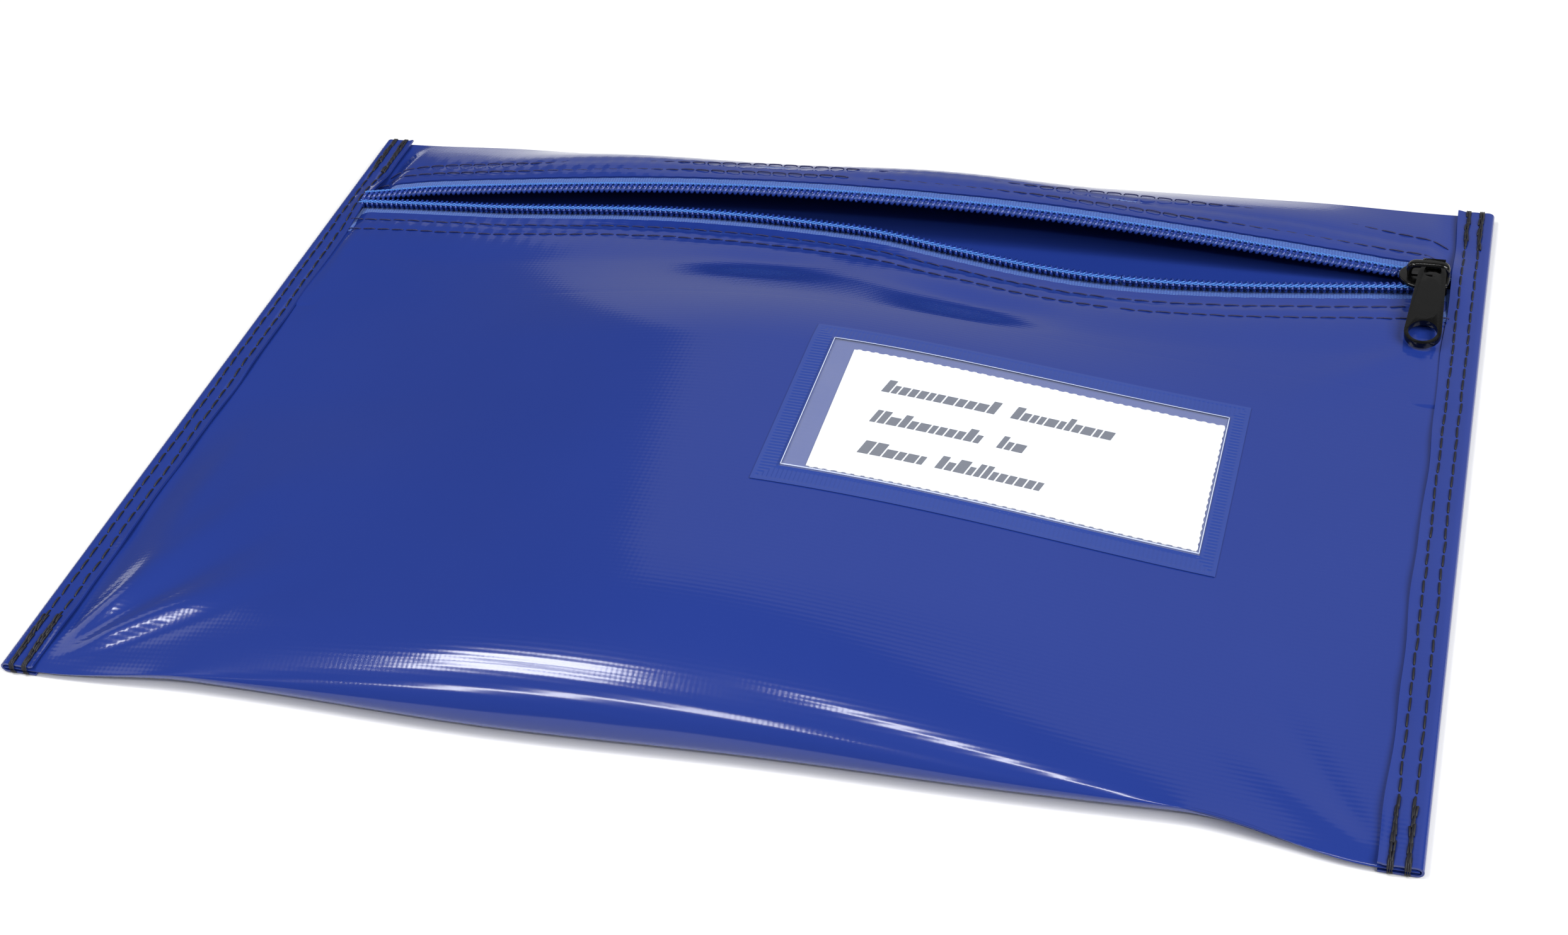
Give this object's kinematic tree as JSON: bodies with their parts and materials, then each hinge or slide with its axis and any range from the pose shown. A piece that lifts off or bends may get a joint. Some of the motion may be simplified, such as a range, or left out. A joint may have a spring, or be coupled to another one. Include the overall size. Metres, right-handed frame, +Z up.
{
  "type": "cash deposit bag",
  "caption": "Flat zipped pouch of coated fabric for carrying cash deposits, with bound sides, a sliding zip with a ringed puller, and a clear card window.",
  "frame": {"origin": "under the middle of the bag, on the surface it lies on", "axes": "+X along the zip towards the end where the slider rests when open, +Y from the bottom fold to the top fold, +Z up out of the front panel"},
  "size_m": [0.35, 0.245, 0.0229],
  "materials": {
    "coated_sheet": "glossy PVC-coated polyester with a fine weave",
    "binding_sheet": "glossy PVC-coated polyester",
    "zip_tape": "woven polyester tape",
    "zip_coil": "polyester monofilament",
    "slider_metal": "gloss black enamel",
    "pawl_metal": "plain spring steel",
    "window_film": "clear flexible vinyl with a ribbed weld",
    "address_card": null,
    "black_thread": "bonded polyester thread",
    "navy_thread": "bonded polyester thread"
  },
  "bodies": {
    "bag": {"front_panel": "coated_sheet", "back_panel": "coated_sheet", "top_strip": "coated_sheet", "left_binding": "binding_sheet", "right_binding": "binding_sheet", "window_film": "window_film", "left_binding_thread": "black_thread", "right_binding_thread": "black_thread", "corner_tacks": "black_thread"},
    "front_lip": {"front_hem": "coated_sheet", "zip_tape_front": "zip_tape", "zip_coil_front": "zip_coil", "front_zip_thread": "navy_thread"},
    "back_lip": {"back_hem": "coated_sheet", "zip_tape_back": "zip_tape", "zip_coil_back": "zip_coil", "back_zip_thread": "navy_thread"},
    "slider": {"slider_body": "slider_metal", "slider_cap": "slider_metal"},
    "pawl": {"lock_pawl": "pawl_metal"},
    "puller": {"puller": "slider_metal"},
    "card": {"address_card": "address_card"}
  },
  "joints": [
    {"name": "slider_travel", "type": "slide", "parent": "bag", "child": "slider", "axis": [1, 0, 0], "range_m": [-0.3155, 0]},
    {"name": "puller_swing", "type": "hinge", "parent": "slider", "child": "puller", "pos_m": [0.1604, 0.0849, 0.0101], "axis": [-1, 0, 0], "range_deg": [0, 150]},
    {"name": "pawl_lift", "type": "slide", "parent": "slider", "child": "pawl", "axis": [0, 0, 1], "range_m": [0, 0.0003], "stiffness_N_per_m": 5},
    {"name": "card_shift", "type": "slide", "parent": "bag", "child": "card", "axis": [-0.9917, 0, 0.1288], "range_m": [0, 0.006], "deforming": ["address_card"]},
    {"name": "front_lip_close", "type": "slide", "parent": "bag", "child": "front_lip", "axis": [0, 0.9838, -0.1793], "range_m": [0, 0.0142], "deforming": ["front_hem", "zip_tape_front", "zip_coil_front", "front_zip_thread"]},
    {"name": "back_lip_close", "type": "hinge", "parent": "bag", "child": "back_lip", "pos_m": [0, 0.1215, 0.0034], "axis": [1, 0, 0], "range_deg": [0, 15], "deforming": ["back_hem", "zip_tape_back", "zip_coil_back", "back_zip_thread"]}
  ],
  "couplings": [
    {"joint": "front_lip_close", "follows": "slider_travel", "ratio": -0.044374},
    {"joint": "back_lip_close", "follows": "slider_travel", "rad_per_m": -0.77447}
  ]
}
